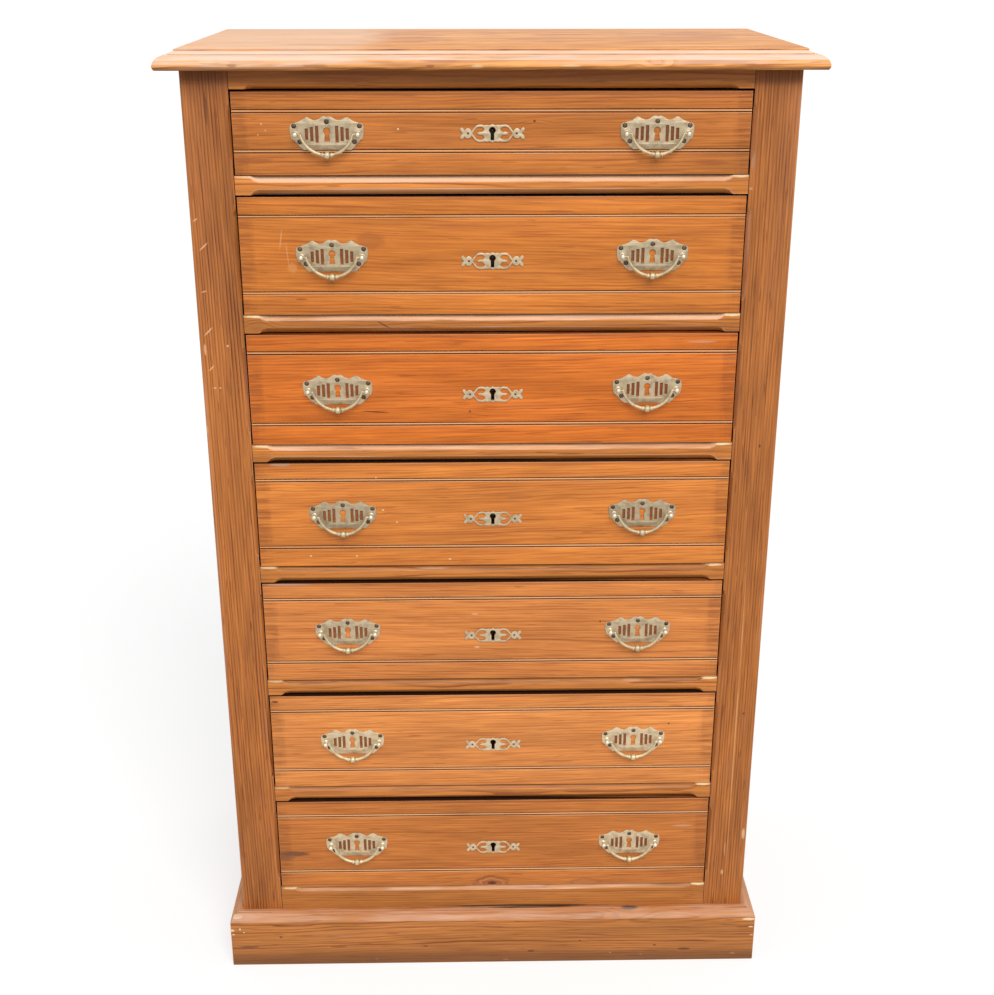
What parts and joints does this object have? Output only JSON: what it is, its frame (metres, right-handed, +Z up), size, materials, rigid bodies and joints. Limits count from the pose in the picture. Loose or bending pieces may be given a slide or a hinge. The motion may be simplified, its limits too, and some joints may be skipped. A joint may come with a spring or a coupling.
{
  "type": "tall chest of drawers",
  "caption": "Tall narrow pitch-pine chest of flush drawers with a moulded top, a plinth, pierced brass plates with swinging bails, and keyhole plates.",
  "frame": {"origin": "on the floor, under the middle of the whole chest", "axes": "+X to the right as seen from the front, +Y from the front to the back, +Z up"},
  "size_m": [0.863, 0.469, 1.4205],
  "materials": {
    "pitch_pine": "waxed, worn",
    "deal": "planed, unfinished",
    "brass": "aged, rubbed bright on the balls and bails",
    "steel": "filed"
  },
  "bodies": {
    "carcass": {"top_board": "pitch_pine", "side_right": "pitch_pine", "side_left": "pitch_pine", "stile_right": "pitch_pine", "stile_left": "pitch_pine", "top_rail": "pitch_pine", "drawer_rails": "deal", "bottom_rail": "pitch_pine", "rear_rails": "deal", "back_boards": "deal", "drawer_runners": "deal", "drawer_guides": "deal", "drawer_stops": "deal", "kickers": "deal", "plinth_front": "pitch_pine", "plinth_right": "pitch_pine", "plinth_left": "pitch_pine", "glue_blocks": "deal"},
    "drawer_1": {"drawer_1_front": "pitch_pine", "drawer_1_box": "deal", "drawer_1_fittings": "brass"},
    "bail_1_left": {"bail_1_left": "brass"},
    "bail_1_right": {"bail_1_right": "brass"},
    "lock_bolt_1": {"lock_bolt_1": "steel"},
    "drawer_2": {"drawer_2_front": "pitch_pine", "drawer_2_box": "deal", "drawer_2_fittings": "brass"},
    "bail_2_left": {"bail_2_left": "brass"},
    "bail_2_right": {"bail_2_right": "brass"},
    "lock_bolt_2": {"lock_bolt_2": "steel"},
    "drawer_3": {"drawer_3_front": "pitch_pine", "drawer_3_box": "deal", "drawer_3_fittings": "brass"},
    "bail_3_left": {"bail_3_left": "brass"},
    "bail_3_right": {"bail_3_right": "brass"},
    "lock_bolt_3": {"lock_bolt_3": "steel"},
    "drawer_4": {"drawer_4_front": "pitch_pine", "drawer_4_box": "deal", "drawer_4_fittings": "brass"},
    "bail_4_left": {"bail_4_left": "brass"},
    "bail_4_right": {"bail_4_right": "brass"},
    "lock_bolt_4": {"lock_bolt_4": "steel"},
    "drawer_5": {"drawer_5_front": "pitch_pine", "drawer_5_box": "deal", "drawer_5_fittings": "brass"},
    "bail_5_left": {"bail_5_left": "brass"},
    "bail_5_right": {"bail_5_right": "brass"},
    "lock_bolt_5": {"lock_bolt_5": "steel"},
    "drawer_6": {"drawer_6_front": "pitch_pine", "drawer_6_box": "deal", "drawer_6_fittings": "brass"},
    "bail_6_left": {"bail_6_left": "brass"},
    "bail_6_right": {"bail_6_right": "brass"},
    "lock_bolt_6": {"lock_bolt_6": "steel"},
    "drawer_7": {"drawer_7_front": "pitch_pine", "drawer_7_box": "deal", "drawer_7_fittings": "brass"},
    "bail_7_left": {"bail_7_left": "brass"},
    "bail_7_right": {"bail_7_right": "brass"},
    "lock_bolt_7": {"lock_bolt_7": "steel"}
  },
  "joints": [
    {"name": "drawer_1_slide", "type": "slide", "parent": "carcass", "child": "drawer_1", "axis": [0, -1, 0], "range_m": [0, 0.34]},
    {"name": "bail_1_left_swing", "type": "hinge", "parent": "drawer_1", "child": "bail_1_left", "pos_m": [-0.216, -0.216, 1.31455], "axis": [-1, 0, 0], "range_deg": [-10, 190]},
    {"name": "bail_1_right_swing", "type": "hinge", "parent": "drawer_1", "child": "bail_1_right", "pos_m": [0.216, -0.216, 1.31455], "axis": [-1, 0, 0], "range_deg": [-10, 190]},
    {"name": "lock_bolt_1_throw", "type": "slide", "parent": "drawer_1", "child": "lock_bolt_1", "axis": [0, 0, 1], "range_m": [0, 0.008]},
    {"name": "drawer_2_slide", "type": "slide", "parent": "carcass", "child": "drawer_2", "axis": [0, -1, 0], "range_m": [0, 0.34]},
    {"name": "bail_2_left_swing", "type": "hinge", "parent": "drawer_2", "child": "bail_2_left", "pos_m": [-0.216, -0.216, 1.1538], "axis": [-1, 0, 0], "range_deg": [-10, 190]},
    {"name": "bail_2_right_swing", "type": "hinge", "parent": "drawer_2", "child": "bail_2_right", "pos_m": [0.216, -0.216, 1.1538], "axis": [-1, 0, 0], "range_deg": [-10, 190]},
    {"name": "lock_bolt_2_throw", "type": "slide", "parent": "drawer_2", "child": "lock_bolt_2", "axis": [0, 0, 1], "range_m": [0, 0.008]},
    {"name": "drawer_3_slide", "type": "slide", "parent": "carcass", "child": "drawer_3", "axis": [0, -1, 0], "range_m": [0, 0.34]},
    {"name": "bail_3_left_swing", "type": "hinge", "parent": "drawer_3", "child": "bail_3_left", "pos_m": [-0.216, -0.216, 0.9663], "axis": [-1, 0, 0], "range_deg": [-10, 190]},
    {"name": "bail_3_right_swing", "type": "hinge", "parent": "drawer_3", "child": "bail_3_right", "pos_m": [0.216, -0.216, 0.9663], "axis": [-1, 0, 0], "range_deg": [-10, 190]},
    {"name": "lock_bolt_3_throw", "type": "slide", "parent": "drawer_3", "child": "lock_bolt_3", "axis": [0, 0, 1], "range_m": [0, 0.008]},
    {"name": "drawer_4_slide", "type": "slide", "parent": "carcass", "child": "drawer_4", "axis": [0, -1, 0], "range_m": [0, 0.34]},
    {"name": "bail_4_left_swing", "type": "hinge", "parent": "drawer_4", "child": "bail_4_left", "pos_m": [-0.216, -0.216, 0.7788], "axis": [-1, 0, 0], "range_deg": [-10, 190]},
    {"name": "bail_4_right_swing", "type": "hinge", "parent": "drawer_4", "child": "bail_4_right", "pos_m": [0.216, -0.216, 0.7788], "axis": [-1, 0, 0], "range_deg": [-10, 190]},
    {"name": "lock_bolt_4_throw", "type": "slide", "parent": "drawer_4", "child": "lock_bolt_4", "axis": [0, 0, 1], "range_m": [0, 0.008]},
    {"name": "drawer_5_slide", "type": "slide", "parent": "carcass", "child": "drawer_5", "axis": [0, -1, 0], "range_m": [0, 0.34]},
    {"name": "bail_5_left_swing", "type": "hinge", "parent": "drawer_5", "child": "bail_5_left", "pos_m": [-0.216, -0.216, 0.5913], "axis": [-1, 0, 0], "range_deg": [-10, 190]},
    {"name": "bail_5_right_swing", "type": "hinge", "parent": "drawer_5", "child": "bail_5_right", "pos_m": [0.216, -0.216, 0.5913], "axis": [-1, 0, 0], "range_deg": [-10, 190]},
    {"name": "lock_bolt_5_throw", "type": "slide", "parent": "drawer_5", "child": "lock_bolt_5", "axis": [0, 0, 1], "range_m": [0, 0.008]},
    {"name": "drawer_6_slide", "type": "slide", "parent": "carcass", "child": "drawer_6", "axis": [0, -1, 0], "range_m": [0, 0.34]},
    {"name": "bail_6_left_swing", "type": "hinge", "parent": "drawer_6", "child": "bail_6_left", "pos_m": [-0.216, -0.216, 0.4038], "axis": [-1, 0, 0], "range_deg": [-10, 190]},
    {"name": "bail_6_right_swing", "type": "hinge", "parent": "drawer_6", "child": "bail_6_right", "pos_m": [0.216, -0.216, 0.4038], "axis": [-1, 0, 0], "range_deg": [-10, 190]},
    {"name": "lock_bolt_6_throw", "type": "slide", "parent": "drawer_6", "child": "lock_bolt_6", "axis": [0, 0, 1], "range_m": [0, 0.008]},
    {"name": "drawer_7_slide", "type": "slide", "parent": "carcass", "child": "drawer_7", "axis": [0, -1, 0], "range_m": [0, 0.34]},
    {"name": "bail_7_left_swing", "type": "hinge", "parent": "drawer_7", "child": "bail_7_left", "pos_m": [-0.216, -0.216, 0.2163], "axis": [-1, 0, 0], "range_deg": [-10, 190]},
    {"name": "bail_7_right_swing", "type": "hinge", "parent": "drawer_7", "child": "bail_7_right", "pos_m": [0.216, -0.216, 0.2163], "axis": [-1, 0, 0], "range_deg": [-10, 190]},
    {"name": "lock_bolt_7_throw", "type": "slide", "parent": "drawer_7", "child": "lock_bolt_7", "axis": [0, 0, 1], "range_m": [0, 0.008]}
  ]
}
